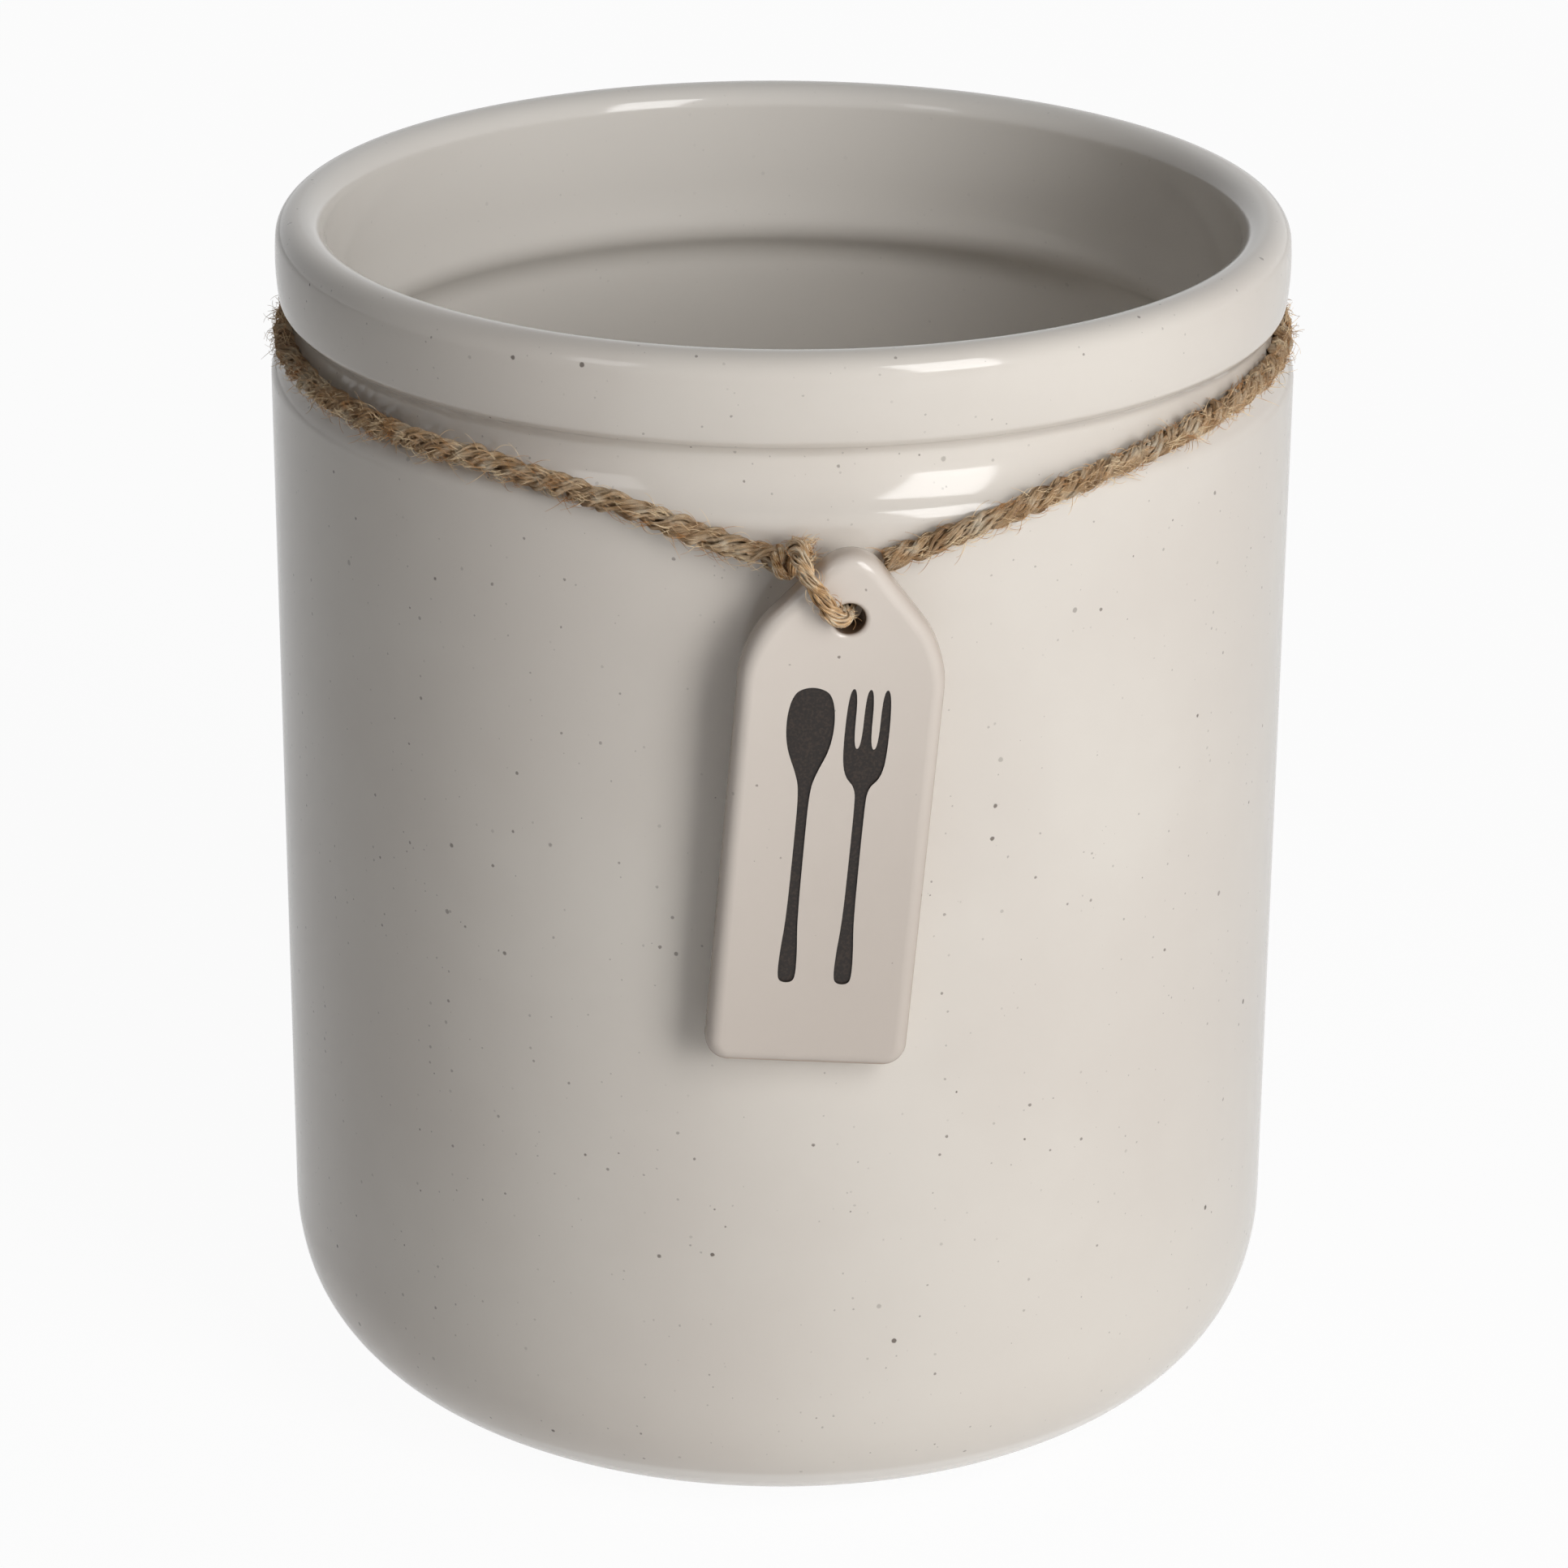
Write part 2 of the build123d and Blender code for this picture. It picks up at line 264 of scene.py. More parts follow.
glaze_colour = paint(214, 206, 197)
glaze_pale = paint(219, 212, 203)
# Paler colour for the inside of the crock: painted light, not a different glaze
inside_painted_light = paint(232, 227, 220)
speck_colour = paint(84, 70, 60)
bare_clay = paint(196, 170, 142)
glaze_roughness, clay_roughness = 0.1, 0.85
crock_specks = ((4.6, 0.46, 0.55, 0.85), (2.4, 0.31, 0.6, 0.65), (1.5, 0.22, 0.35, 0.4))
inside_below, outside_above = 0.0665, 0.0675
glaze, tree, shader, place = glaze_tree("crock_glaze", glaze_roughness)
skin = group_in(tree, glaze_skin, Vector=place, Waves=0.07, Peel=0.003)
colour = tint_on(tree, ramp_on(tree, skin.outputs["Cloud"], 0.35, 0.65), glaze_colour, glaze_pale)
spot = add_node(tree, "ShaderNodeSeparateXYZ", Vector=place).outputs
from_axis = length_on(tree, spot["X"], spot["Y"])
colour = speckled(tree, place, colour, crock_specks)
# The inside is painted paler than the outside glaze, as painted light for the lit inside of the mouth. The same mix
# also fades the specks there.
colour = tint_on(tree, ramp_on(tree, from_axis, inside_below, outside_above, 0.8, 0.0), colour, inside_painted_light)
glaze_line = math_on(tree, "ADD", spot["Z"], math_on(tree, "MULTIPLY", skin.outputs["Height"], 0.004))
wiped = ramp_on(tree, glaze_line, 0.0009, 0.0013, 1.0, 0.0)
colour = tint_on(tree, wiped, colour, bare_clay)
tree.links.new(colour, shader.inputs["Base Color"])
tree.links.new(ramp_on(tree, wiped, 0.0, 1.0, glaze_roughness, clay_roughness), shader.inputs["Roughness"])
set_bump(tree, shader, skin.outputs["Height"])
crock.data.materials.append(glaze)
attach(crock, "crock")
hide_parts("crock")

# Tag
# A hand-cut slab of the same clay, 26.8 x 75.5 x 5 mm, with a gabled top, soft sponged edges and a hole
# bored while wet. A spoon and a fork are pressed into its face and filled with dark underglaze, and
# the tag is browner along the lower edge.
tag_thickness, tag_half_width = 5.0, 13.4
tag_above_hole, tag_below_hole, tag_gable_rise = 11.2, 64.3, 15.4
tag_hole_radius, tag_hole_round = 2.05, 0.8
tag_face_round, tag_back_round = 2.0, 1.7
peak_reach, eaves_reach, foot_reach = 5.75, 5.2, 3.2
drill_overshoot = 0.6
tag_out = Vector((0.087056, -0.995053, -0.047868))
tag_across = Vector((0.992939, 0.090557, -0.076631))
tag_up = tag_out.cross(tag_across)
tag_place = Matrix.Translation(Vector((8.3124, -74.3585, 140.86)) * MM) @ Matrix(
    (tag_across, tag_up, tag_out)
).transposed().to_4x4()

slab = bmesh.new()
eaves = tag_above_hole - tag_gable_rise
corners = [
    slab.verts.new(Vector((x, y, tag_back_round)) * MM)
    for x, y in (
        (0, tag_above_hole), (-tag_half_width, eaves), (-tag_half_width, -tag_below_hole),
        (tag_half_width, -tag_below_hole), (tag_half_width, eaves),
    )
]
slab.faces.new(corners)
corner_reaches = (peak_reach, eaves_reach, foot_reach, foot_reach, eaves_reach)
for corner, reach, segments in zip(corners, corner_reaches, (12, 9, 9, 9, 9)):
    bmesh.ops.bevel(
        slab, geom=[corner], offset=reach * MM, offset_type="OFFSET", segments=segments,
        profile=0.5, affect="VERTICES", material=-1,
    )
for edge in [edge for edge in slab.edges if edge.calc_length() > 6 * MM]:
    bmesh.ops.subdivide_edges(slab, edges=[edge], cuts=round(edge.calc_length() / MM / 3))
back_face = slab.faces[:][0]
risen = bmesh.ops.extrude_face_region(slab, geom=[back_face], use_keep_orig=True)["geom"]
front_face = next(item for item in risen if isinstance(item, bmesh.types.BMFace))
side_height = tag_thickness - tag_back_round - tag_face_round
bmesh.ops.translate(slab, verts=front_face.verts[:], vec=Vector((0, 0, side_height)) * MM)
bmesh.ops.recalc_face_normals(slab, faces=slab.faces)


def round_over(face, radius, steps):
    """Rounds a slab's edge by insets along a quarter circle."""
    for step in range(steps):
        before, after = (math.radians(90 * (step + part) / steps) for part in (0, 1))
        bmesh.ops.inset_region(
            slab, faces=[face], use_even_offset=True,
            thickness=radius * (math.cos(before) - math.cos(after)) * MM,
            depth=radius * (math.sin(after) - math.sin(before)) * MM,
        )


round_over(front_face, tag_face_round, 6)
round_over(back_face, tag_back_round, 5)
tag = finish_mesh(slab, "tag_body")

drill = bmesh.new()
flare = tag_hole_radius + tag_hole_round
tip = drill.verts.new(Vector((0, 0, -drill_overshoot)) * MM)
tip = run_to(drill, tip, flare + drill_overshoot, -drill_overshoot)
tip = run_to(drill, tip, flare, -0.01)
tip, heading = arc_on(drill, tip, 180, tag_hole_round, -90, 6)
tip = run_to(drill, tip, tag_hole_radius, tag_thickness - tag_hole_round)
tip, heading = arc_on(drill, tip, heading, tag_hole_round, -90, 6)
tip = run_to(drill, tip, flare + drill_overshoot, tag_thickness + drill_overshoot)
tip = run_to(drill, tip, 0, tag_thickness + drill_overshoot)
bmesh.ops.spin(
    drill, geom=drill.verts[:] + drill.edges[:], cent=(0, 0, 0), axis=(0, 0, 1),
    angle=math.tau, steps=48, use_merge=True,
)
drill = finish_mesh(drill, "hole_drill")

# Outlines of the spoon and the fork, half of each, in millimetres from the top of its bowl or tines
mark_top, mark_middle = -9.6, 3.7
stamp_half_height, stamp_raise = 0.4, 0.1
spoon_outline = (
    (0.9, 0.0), (2.5, -0.9), (3.2, -4.2), (2.9, -8.4), (1.3, -12.2), (0.7, -14.6), (0.68, -22.0),
    (0.74, -33.0), (1.15, -38.0), (1.2, -41.6), (0.6, -42.3),
)
fork_outline = (
    (0.56, 0.1), (0.56, -8.3), (1.62, -8.3), (1.6, 0.1), (2.75, 0.1), (2.95, -8.0), (2.5, -12.2),
    (0.8, -13.8), (0.68, -17.0), (0.68, -24.0), (0.74, -33.0), (1.15, -38.0), (1.2, -41.6), (0.6, -42.3),
)


def stamp(name, outline, across):
    """A block in the shape of a closed smooth outline, set to press into the tag's face."""
    shape = bpy.data.curves.new(name, "CURVE")
    shape.dimensions = "2D"
    shape.fill_mode = "BOTH"
    shape.extrude = stamp_half_height * MM
    line = shape.splines.new("NURBS")
    points = [*outline, *((-x, y) for x, y in reversed(outline))]
    line.points.add(len(points) - 1)
    for point, (x, y) in zip(line.points, points):
        point.co = ((x + across) * MM, (y + mark_top) * MM, 0, 1)
    line.use_cyclic_u = True
    line.order_u = 3
    shape.resolution_u = 6
    holder = bpy.data.objects.new(name, shape)
    bpy.context.scene.collection.objects.link(holder)
    solid = bpy.data.objects.new(name + "_block", bpy.data.meshes.new_from_object(holder))
    bpy.data.objects.remove(holder)
    bpy.context.scene.collection.objects.link(solid)
    solid.data.transform(Matrix.Translation((0, 0, (tag_thickness + stamp_raise) * MM)))
    return solid


# Lit and shaded colours of the tag's glaze, used for painted light and shade across the tag
tag_painted_light, tag_painted_shade = paint(219, 209, 199), paint(198, 187, 177)
tag_edge_brown, tag_foot_brown, tag_bore_painted_shade = paint(168, 146, 126), paint(150, 116, 88), paint(92, 72, 56)
tag_specks = ((3.4, 0.3, 0.5, 0.7), (1.6, 0.13, 0.2, 0.5))
tag_glaze, tree, shader, place = glaze_tree("tag_glaze", 0.16)
skin = group_in(tree, glaze_skin, Vector=place, Waves=0.14, Peel=0.005)
across, along, depth = (
    math_on(tree, "SUBTRACT", add_node(tree, "ShaderNodeVectorMath", {"operation": "DOT_PRODUCT"}, _0=place,
                                       _1=way).outputs["Value"], tag_place.translation.dot(way))
    for way in (tag_across, tag_up, tag_out)
)

# The tag's glaze is painted darker towards its lower right corner and paler towards its top left, as painted shade
# and light; a slow cloud adds a random change of tone
painted_shade_slope = math_on(tree, "SUBTRACT", math_on(tree, "MULTIPLY", along, 10.0), math_on(tree, "MULTIPLY", across, 9.0))
painted_shade_slope = math_on(tree, "ADD", painted_shade_slope, math_on(tree, "MULTIPLY", skin.outputs["Cloud"], 0.3))
colour = tint_on(tree, ramp_on(tree, painted_shade_slope, -0.55, 0.4), tag_painted_shade, tag_painted_light)
colour = speckled(tree, place, colour, tag_specks)
rounded = ramp_on(tree, depth, (tag_thickness - 1.3) * MM, (tag_thickness - 0.1) * MM, 0.34, 0.0)
colour = tint_on(tree, rounded, colour, tag_edge_brown)
# The hole's bore is painted dark brown: painted shade for the dark inside of the hole
from_hole = length_on(tree, across, along)
bore_shade_mask = math_on(tree, "MULTIPLY", ramp_on(tree, from_hole, 2.2 * MM, 2.7 * MM, 1.0, 0.0),
                  ramp_on(tree, depth, (tag_thickness - 0.6) * MM, (tag_thickness - 0.1) * MM, 1.0, 0.0))
colour = tint_on(tree, bore_shade_mask, colour, tag_bore_painted_shade)
# The tag is browner along its lower edge, in a patchy band
brown_foot_band = ramp_on(tree, along, (0.2 - tag_below_hole) * MM, (1.1 - tag_below_hole) * MM, 1.0, 0.0)
brown_foot_band = math_on(tree, "MULTIPLY", brown_foot_band, ramp_on(tree, skin.outputs["Cloud"], 0.3, 0.7, 0.25, 0.8))
colour = tint_on(tree, brown_foot_band, colour, tag_foot_brown)
tree.links.new(colour, shader.inputs["Base Color"])
set_bump(tree, shader, skin.outputs["Height"])
tag.data.materials.append(tag_glaze)

ink, tree, shader, place = glaze_tree("dark_underglaze", 0.45)
skin = group_in(tree, glaze_skin, Vector=place, Waves=0.0, Peel=0.05)
grain = add_node(tree, "ShaderNodeTexNoise", Vector=place, Scale=2600.0, Detail=3.0)
colour = tint_on(tree, ramp_on(tree, grain.outputs[0], 0.4, 0.72), paint(28, 21, 17), paint(50, 39, 32))
tree.links.new(colour, shader.inputs["Base Color"])
set_bump(tree, shader, skin.outputs["Height"])
tag.data.materials.append(ink)

blocks = [stamp("spoon", spoon_outline, -mark_middle), stamp("fork", fork_outline, mark_middle)]
for block in blocks:
    block.data.materials.clear()
    block.data.materials.append(ink)
drill.data.materials.append(tag_glaze)
for block in (drill, *blocks):
    press = tag.modifiers.new(block.name, "BOOLEAN")
    press.operation = "DIFFERENCE"
    press.solver = "EXACT"
    press.object = block
    press.material_mode = "TRANSFER"
bpy.context.view_layer.update()
pressed = bpy.data.meshes.new_from_object(tag.evaluated_get(bpy.context.evaluated_depsgraph_get()))
tag.modifiers.clear()
tag.data = pressed
for block in (drill, *blocks):
    bpy.data.objects.remove(block)
pressed.transform(tag_place)
pressed.shade_smooth()
pressed.set_sharp_from_angle(angle=math.radians(35))
flat_shading = tag.modifiers.new("flat_shading", "WEIGHTED_NORMAL")
flat_shading.keep_sharp = True
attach(tag, "tag")
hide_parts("tag")

# Twine round the neck
# Three-ply jute, 2.7 mm thick and hairy. It runs from the knot at the front along the shoulder, sits
# in the groove at the back and comes down the other side to behind the tag.
yarn_count, yarn_pitch, yarn_step = 3, 8.2, 0.5
strand_count, strand_pitch = 7, 13
yarn_reach, strand_reach, strand_radius = 0.66, 0.56, 0.29
fibre_root, fibre_gap, fibre_radius = 1.25, 0.36, 0.045
neck_route = (
    (-0.6, -73.9, 146.9), (-9.6, -72.8, 149.3), (-16.4, -71.2, 151.6), (-23.5, -68.3, 153.1),
    (-31.3, -64.1, 154.2), (-39.6, -58.8, 155.1), (-48.3, -51.8, 155.2), (-57.1, -41.5, 155.3),
    (-64.7, -27.5, 155.5), (-69.4, -9.8, 155.8), (-69.7, 8.6, 155.8), (-65.2, 26.4, 155.8),
    (-56.7, 42.8, 155.6), (-43.7, 56.0, 155.8), (-27.8, 65.4, 155.7), (-9.9, 70.4, 155.8),
    (9.9, 70.4, 155.6), (27.7, 65.4, 155.8), (43.7, 56.0, 155.7), (56.7, 42.7, 155.8),
    (65.2, 26.4, 155.8), (69.7, 8.6, 155.9), (69.4, -9.8, 156.1), (64.8, -27.5, 156.2),
    (57.2, -41.6, 155.9), (48.9, -51.6, 154.8), (41.1, -58.8, 153.7), (34.2, -64.2, 152.3),
    (26.9, -68.3, 150.4), (19.6, -70.7, 148.0), (13.2, -71.9, 145.9),
)


def read_route(name, route):
    """The points of the smooth line that a spline draws along a route."""
    line = bpy.data.curves.new(name, "CURVE")
    line.dimensions = "3D"
    spline = line.splines.new("NURBS")
    spline.points.add(len(route) - 1)
    for point, spot in zip(spline.points, route):
        point.co = (*(Vector(spot) * MM), 1)
    spline.order_u = 3
    spline.use_endpoint_u = True
    line.resolution_u = 24
    holder = bpy.data.objects.new(name, line)
    bpy.context.scene.collection.objects.link(holder)
    drawn = bpy.data.meshes.new_from_object(holder)
    places = [vertex.co.copy() for vertex in drawn.vertices]
    bpy.data.objects.remove(holder)
    return places


def carried_frames(places, gap):
    """Points a gap apart on a line, each with its direction and two directions across it."""
    spots, run = [places[0]], 0.0
    for before, after in zip(places, places[1:]):
        length = (after - before).length
        while run + length >= gap * len(spots) and length:
            spots.append(before.lerp(after, (gap * len(spots) - run) / length))
        run += length
    side = Vector((0, 0, 1))
    frames = []
    for number, spot in enumerate(spots):
        ahead = (spots[min(number + 1, len(spots) - 1)] - spots[max(number - 1, 0)]).normalized()
        side = (side - ahead * side.dot(ahead)).normalized()
        frames.append((spot, ahead, side, ahead.cross(side)))
    return frames


def shown_curve(name, splines, thickness, material):
    """A mesh of thin threads, each a list of points and widths, with its UV map in metres."""
    line = bpy.data.curves.new(name, "CURVE")
    line.dimensions = "3D"
    line.bevel_depth = thickness
    line.bevel_resolution = 0
    line.use_fill_caps = True
    for thread in splines:
        spline = line.splines.new("POLY")
        spline.points.add(len(thread) - 1)
        for point, (spot, width) in zip(spline.points, thread):
            point.co = (*spot, 1)
            point.radius = width
    holder = bpy.data.objects.new(name, line)
    bpy.context.scene.collection.objects.link(holder)
    data = bpy.data.meshes.new_from_object(holder)
    bpy.data.objects.remove(holder)
    thread = splines[0]
    length = sum((after[0] - before[0]).length for before, after in zip(thread, thread[1:]))
    for corner in data.uv_layers[0].data:
        corner.uv = (corner.uv.x * math.tau * thickness, corner.uv.y * length)
    data.shade_smooth()
    data.materials.clear()
    data.materials.append(material)
    piece = bpy.data.objects.new(name, data)
    bpy.context.scene.collection.objects.link(piece)
    return piece


def twisted_yarns(name, places, material, seed, thickness=1.0, pitch=yarn_pitch, taper=0.0):
    """Three yarns laid round a line in an S twist, each of seven uneven strands twisted the other way."""
    frames = carried_frames(places, yarn_step * MM)
    strands = []
    for yarn in range(yarn_count):
        for strand in range(strand_count):
            thread = []
            for number, (spot, ahead, side, over) in enumerate(frames):
                along = number * yarn_step
                lump = noise.noise(Vector((along * 0.28, yarn * 7.3 + seed, 0.5)))
                sway = noise.noise(Vector((along * 0.11, yarn * 3.1 + seed, 9.5)))
                loose = noise.noise(Vector((along * 0.5, yarn * 5.7 + strand * 2.9 + seed, 4.5)))
                thick = noise.noise(Vector((along * 0.8, yarn * 9.1 + strand * 4.3 + seed, 7.5)))
                closing = 1.0
                if taper:
                    from_end = min(along, (len(frames) - 1 - number) * yarn_step)
                    closing = min(1.0, 0.45 + 0.55 * from_end / taper)
                turn = math.tau * (yarn / yarn_count - along / pitch) + 0.9 * sway
                twirl = math.tau * (strand / strand_count + along / strand_pitch) + 1.2 * loose + turn
                middle = yarn_reach * (1 + 0.24 * lump)
                off = strand_reach * (0.88 + 0.75 * loose + 0.2 * lump)
                across = side * (middle * math.cos(turn) + off * math.cos(twirl))
                across += over * (middle * math.sin(turn) + off * math.sin(twirl))
                thread.append((spot + across * thickness * closing * MM, closing * (1 + 0.5 * thick)))
            strands.append(thread)
    return shown_curve(name, strands, strand_radius * thickness * MM, material)


def stray_fibres(name, places, material, count, seed, clear_of=None, longest=3.6):
    """Loose fibres that lift off the yarns, lie along them or curl back."""
    frames = carried_frames(places, fibre_gap * MM)
    chance = random.Random(seed)
    fibres = []
    while len(fibres) < count:
        spot, ahead, side, over = chance.choice(frames)
        turn = chance.uniform(0, math.tau)
        out = side * math.cos(turn) + over * math.sin(turn)
        if clear_of is not None and out.dot(clear_of(spot)) < -0.15:
            continue
        length = chance.uniform(1.0, longest) * MM
        lift = chance.choice((0.1, 0.16, 0.26, 0.5)) * chance.uniform(0.6, 1.2)
        way = ahead * chance.choice((-1, 1)) + (side * chance.uniform(-0.6, 0.6) + over * chance.uniform(-0.6, 0.6))
        curl = side * chance.uniform(-1, 1) + over * chance.uniform(-1, 1)
        root = spot + out * fibre_root * MM
        fibre = []
        for step in range(6):
            share = step / 5
            rise = out * (lift * share + 0.25 * math.sin(math.pi * share)) * length * 0.6
            fibre.append((root + way.normalized() * length * share * 0.9 + rise
                          + curl * share * share * length * 0.22, 1.0 - 0.6 * share))
        fibres.append(fibre)
    return shown_curve(name, fibres, fibre_radius * MM, material)


jute = bpy.data.materials.new("jute")
jute.use_nodes = True
tree = jute.node_tree
shader = tree.nodes["Principled BSDF"]
shader.inputs["Roughness"].default_value = 0.7
shader.inputs["Specular IOR Level"].default_value = 0.15
shader.inputs["Sheen Weight"].default_value = 0.3
shader.inputs["Sheen Roughness"].default_value = 0.5
shader.inputs["Sheen Tint"].default_value = (1, 0.93, 0.82, 1)
laid = tree.nodes.new("ShaderNodeTexCoord").outputs["UV"]
place = tree.nodes.new("ShaderNodeTexCoord").outputs["Object"]
slanted = add_node(tree, "ShaderNodeMapping", Vector=laid, Rotation=(0, 0, math.radians(-16)),
                   Scale=(9000.0, 520.0, 1.0))
streak = add_node(tree, "ShaderNodeTexNoise", Vector=slanted.outputs[0], Scale=1.0, Detail=3.0, Roughness=0.65)
patch = add_node(tree, "ShaderNodeTexNoise", Vector=place, Scale=330.0, Detail=2.0)
shade = math_on(tree, "ADD", math_on(tree, "MULTIPLY", streak.outputs[0], 0.7),
                math_on(tree, "MULTIPLY", patch.outputs[0], 0.45))
colour = tint_on(tree, ramp_on(tree, shade, 0.41, 0.6), paint(110, 64, 28), paint(226, 180, 124))
colour = tint_on(tree, ramp_on(tree, shade, 0.54, 0.7), colour, paint(255, 240, 214))
tree.links.new(colour, shader.inputs["Base Color"])
set_bump(tree, shader, streak.outputs[0], 0.00022)

loose_jute = bpy.data.materials.new("loose_jute")
loose_jute.use_nodes = True
tree = loose_jute.node_tree
shader = tree.nodes["Principled BSDF"]
shader.inputs["Roughness"].default_value = 0.6
place = tree.nodes.new("ShaderNodeTexCoord").outputs["Object"]
patch = add_node(tree, "ShaderNodeTexNoise", Vector=place, Scale=420.0, Detail=2.0)
colour = tint_on(tree, ramp_on(tree, patch.outputs[0], 0.35, 0.65), paint(178, 126, 74), paint(250, 226, 186))
tree.links.new(colour, shader.inputs["Base Color"])


def outwards(spot):
    """Direction away from the crock's axis."""
    return Vector((spot.x, spot.y, 0)).normalized()


neck_line = read_route("neck_line", neck_route)
neck_twine = twisted_yarns("neck_twine_yarns", neck_line, jute, 3, 1.1)
neck_fibres = stray_fibres("neck_twine_fibres", neck_line, loose_jute, 4200, 11, outwards)
for piece in (neck_twine, neck_fibres):
    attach(piece, "neck_twine")
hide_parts("neck_twine")

# Loop through the tag
# The same twine leaves the knot over the tag's edge, goes down its face into the hole and comes out
# behind the tag, where it meets the twine from the right.
loop_on_tag = (
    (-7.3, 7.1, -1.0), (-7.0, 7.9, 0.9), (-7.0, 8.0, 3.1), (-6.8, 7.6, 5.0), (-6.1, 6.5, 6.2),
    (-5.1, 5.0, 6.7), (-3.7, 3.1, 6.7), (-2.2, 1.3, 6.5), (-1.0, 0.3, 5.6), (-0.5, 0.1, 3.6),
    (-0.2, 0.1, 1.4), (0.3, 0.5, -0.9), (1.5, 2.1, -1.9), (3.3, 4.8, -2.0),
)
loop_route = [tag_place @ (Vector(spot) * MM) / MM for spot in loop_on_tag]
loop_line = read_route("loop_line", loop_route)
loop = twisted_yarns("tag_loop_yarns", loop_line, jute, 21, 0.9)
loop_fibres = stray_fibres("tag_loop_fibres", loop_line, loose_jute, 110, 5, None, 2.4)
for piece in (loop, loop_fibres):
    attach(piece, "loop")
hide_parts("tag_loop")

# Knot
# The twine is hitched round itself beside the tag's gable: two tight wraps over the left arm, and one
# short cut end that has frayed.
knot_centre = Vector((1.354, -74.088, 147.58))
knot_middle = Vector((0.9, -74.3, 146.4))
wrap_radius, wrap_tuck, wrap_thickness, wrap_pitch = 1.45, 0.55, 0.74, 8.0
arm_way = (knot_centre - Vector(neck_route[1])).normalized()
knot_side = arm_way.cross(outwards(knot_centre)).normalized()
knot_out = knot_side.cross(arm_way)
wraps = []
for number, (shift, lean, turn_from) in enumerate(((-0.85, 0.3, 200), (0.6, -0.24, 20))):
    wrap_route = []
    for step in range(11):
        turn = math.radians(turn_from + step * 40)
        tuck = wrap_tuck if step in (0, 10) else 1.0
        along = shift + lean * 1.4 * math.sin(turn) + 0.12 * (step - 5)
        wrap_route.append(knot_middle + arm_way * along
                          + (knot_out * math.cos(turn) + knot_side * math.sin(turn)) * wrap_radius * tuck)
    wraps.append(twisted_yarns(f"knot_wrap_{number + 1}", read_route("wrap_line", wrap_route), jute, 31 + number,
                               wrap_thickness, wrap_pitch, 1.0))
cut_end_aim = (tag_place @ (Vector((0, 6.17, -1.65)) * MM) / MM - knot_centre).normalized()
cut_end_route = [knot_centre + cut_end_aim * reach + Vector(lift) for reach, lift in (
    (0.2, (0, 0, 0)), (1.4, (0, -0.3, 0.3)), (2.4, (-0.1, -0.5, 0.7)), (3.2, (-0.2, -0.5, 1.0)),
)]
cut_end_line = read_route("cut_end_line", cut_end_route)
cut_end = twisted_yarns("cut_end_yarns", cut_end_line, jute, 41, 0.62, 7.0)
fray = stray_fibres("cut_end_fibres", cut_end_line, loose_jute, 170, 17, None, 2.2)
for piece in (*wraps, cut_end, fray):
    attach(piece, "loop")
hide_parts("twine_knot")

# Floor, lamps and camera
# A plain pale floor runs on to the white background. A large soft lamp stands to the right, with a low
# one under it, a weaker one to the left and one behind. The low and back lamps show in no reflection.
# The camera is above and in front, as in the photograph.
floor_in_reflections, world_in_reflections = 0.58, 1.0
floor_mesh = bmesh.new()
bmesh.ops.create_grid(floor_mesh, x_segments=1, y_segments=1, size=3)
floor = finish_mesh(floor_mesh, "floor")
floor_paint = bpy.data.materials.new("floor_paint")
floor_paint.use_nodes = True
tree = floor_paint.node_tree
shader = tree.nodes["Principled BSDF"]
shader.inputs["Base Color"].default_value = paint(246, 246, 246)
shader.inputs["Roughness"].default_value = 0.9
shader.inputs["Specular IOR Level"].default_value = 0.1


def seen_ray(tree, reflected_share):
    """1 for rays from the camera or through glass, a share of it in a reflection, and 0 for the rest."""
    ray = tree.nodes.new("ShaderNodeLightPath").outputs
    straight = math_on(tree, "MAXIMUM", ray["Is Camera Ray"], ray["Is Transmission Ray"])
    return math_on(tree, "MAXIMUM", straight, math_on(tree, "MULTIPLY", ray["Is Glossy Ray"], reflected_share))


glow = add_node(tree, "ShaderNodeEmission", Color=(1, 1, 1, 1), Strength=1.0)
glow_share = ramp_on(tree, seen_ray(tree, floor_in_reflections), 0.0, 1.0, 0.08, 0.95)
mixed = add_node(tree, "ShaderNodeMixShader", _0=glow_share, _1=shader.outputs[0], _2=glow.outputs[0])
tree.links.new(mixed.outputs[0], tree.nodes["Material Output"].inputs["Surface"])
floor.data.materials.append(floor_paint)

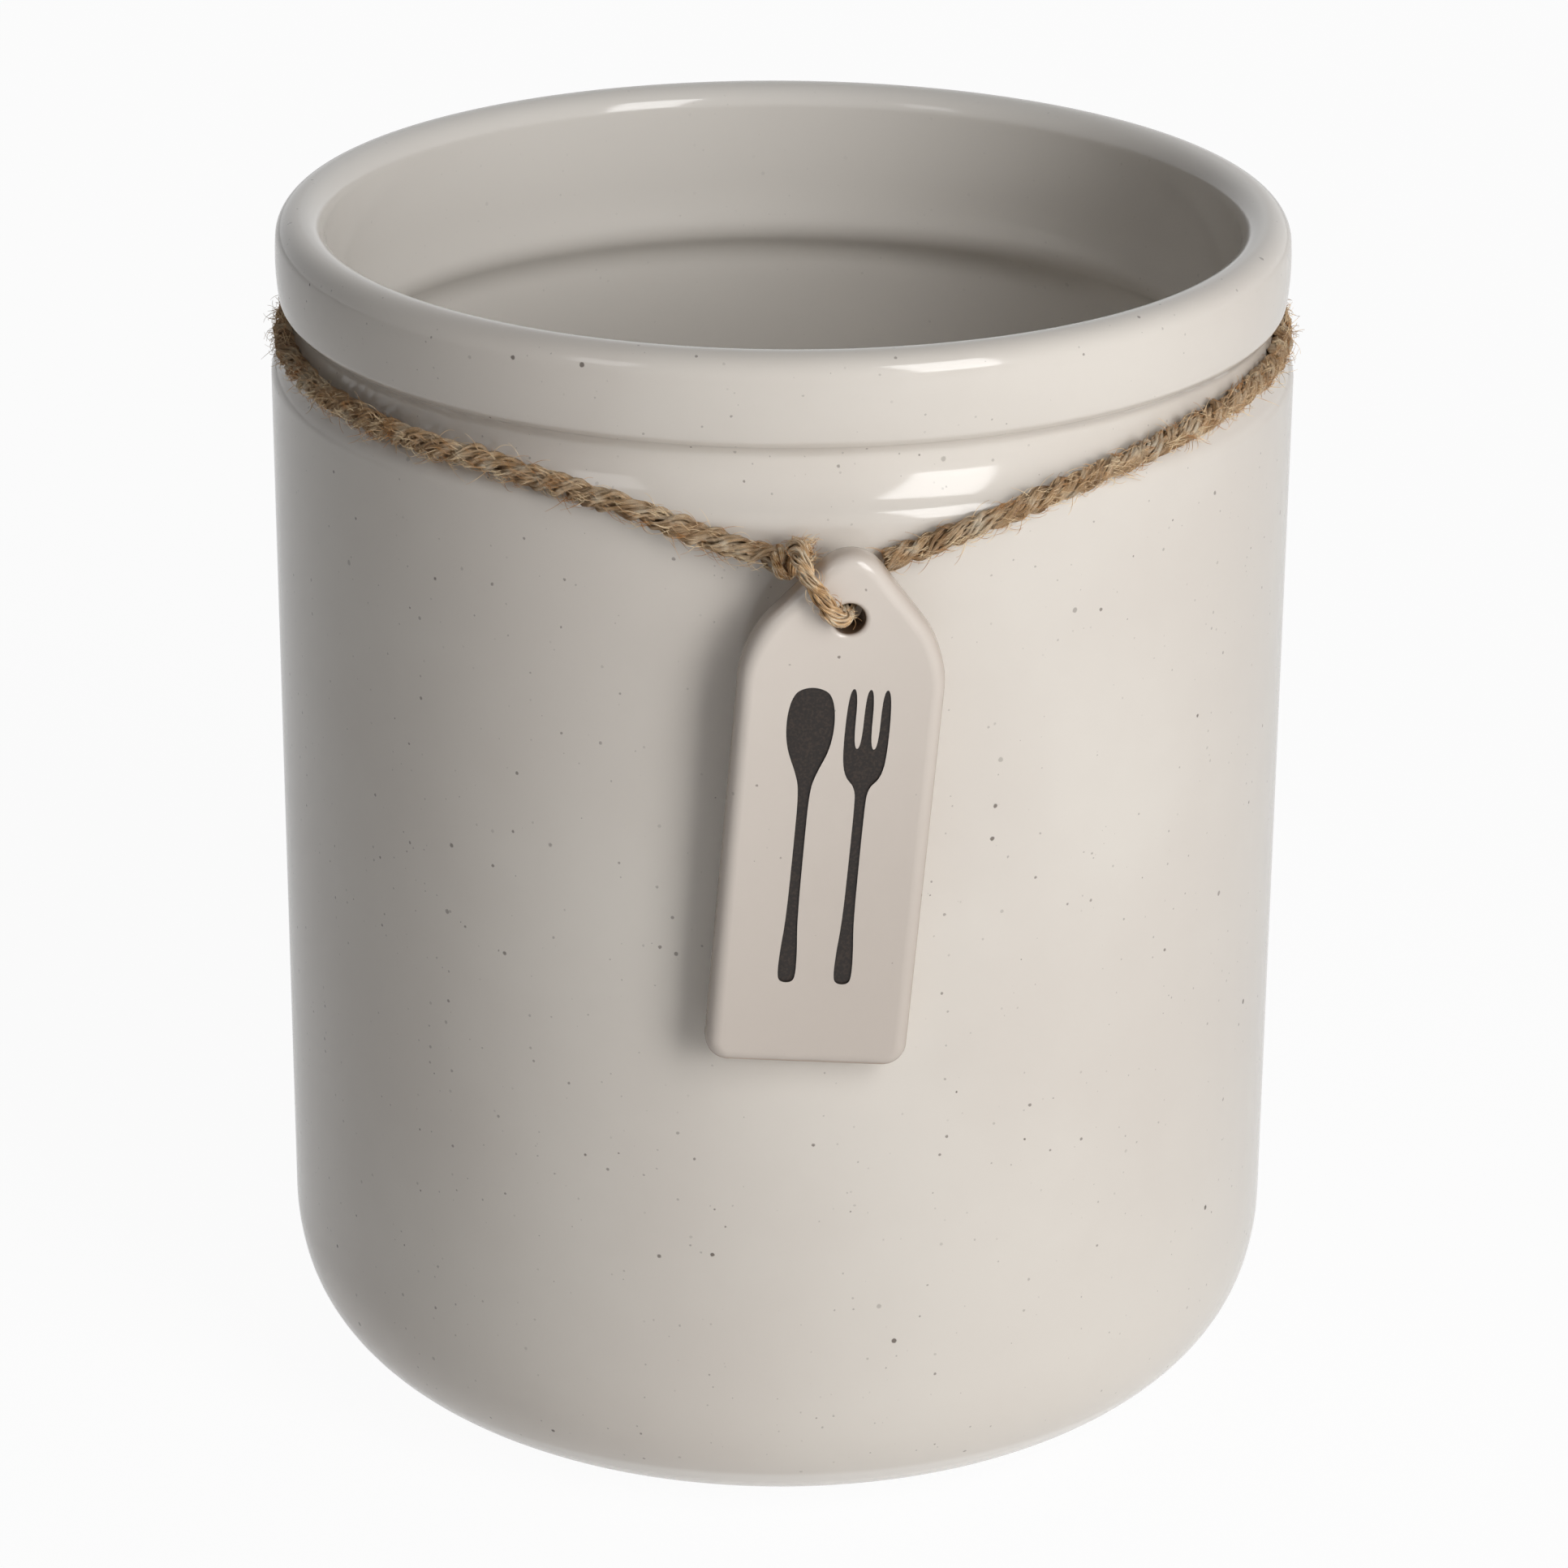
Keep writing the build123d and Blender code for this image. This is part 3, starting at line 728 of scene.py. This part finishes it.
world = bpy.data.worlds.new("studio")
bpy.context.scene.world = world
world.use_nodes = True
tree = world.node_tree
background = tree.nodes["Background"]
background.inputs["Color"].default_value = (1, 1, 1, 1)
world_strength = ramp_on(tree, seen_ray(tree, world_in_reflections), 0.0, 1.0, 0.03, 1.0)
tree.links.new(world_strength, background.inputs["Strength"])


def add_lamp(name, azimuth, elevation, distance, width, height, power):
    """A soft rectangular lamp aimed at the crock, its azimuth measured from the front to the right."""
    data = bpy.data.lights.new(name, "AREA")
    data.shape = "RECTANGLE"
    data.size, data.size_y = width, height
    data.energy = power
    lamp = bpy.data.objects.new(name, data)
    bpy.context.scene.collection.objects.link(lamp)
    turn, rise = math.radians(azimuth), math.radians(elevation)
    away = Vector((math.sin(turn) * math.cos(rise), -math.cos(turn) * math.cos(rise), math.sin(rise)))
    lamp.location = Vector((0, 0, 0.1)) + away * distance
    lamp.rotation_mode = "QUATERNION"
    lamp.rotation_quaternion = away.to_track_quat("Z", "Y")
    return lamp


add_lamp("right_lamp", 38, 30, 1.2, 0.4, 0.78, 6.8)
add_lamp("left_lamp", -40.5, 30, 1.3, 0.3, 0.42, 0.8)
low_lamp = add_lamp("low_lamp", 40, 9, 1.3, 0.8, 0.5, 5.8)
back_lamp = add_lamp("back_lamp", 180, 30, 1.4, 0.9, 0.5, 3.2)
for lamp in (low_lamp, back_lamp):
    lamp.visible_glossy = False

photo_width, focal_pixels, shift_pixels = 1932, 6512.57, 5.096
camera_tilt, camera_roll = 22.237, 0.361
camera_data = bpy.data.cameras.new("camera")
camera_data.sensor_width = 36
camera_data.lens = 36 * focal_pixels / photo_width
camera_data.shift_x = shift_pixels / photo_width
camera = bpy.data.objects.new("camera", camera_data)
bpy.context.scene.collection.objects.link(camera)
camera.matrix_world = (
    Matrix.Translation(Vector((0, -709.686, 375.766)) * MM)
    @ Matrix.Rotation(math.radians(90 - camera_tilt), 4, "X")
    @ Matrix.Rotation(math.radians(camera_roll), 4, "Z")
)
bpy.context.scene.camera = camera
bpy.context.scene.view_settings.view_transform = "Standard"
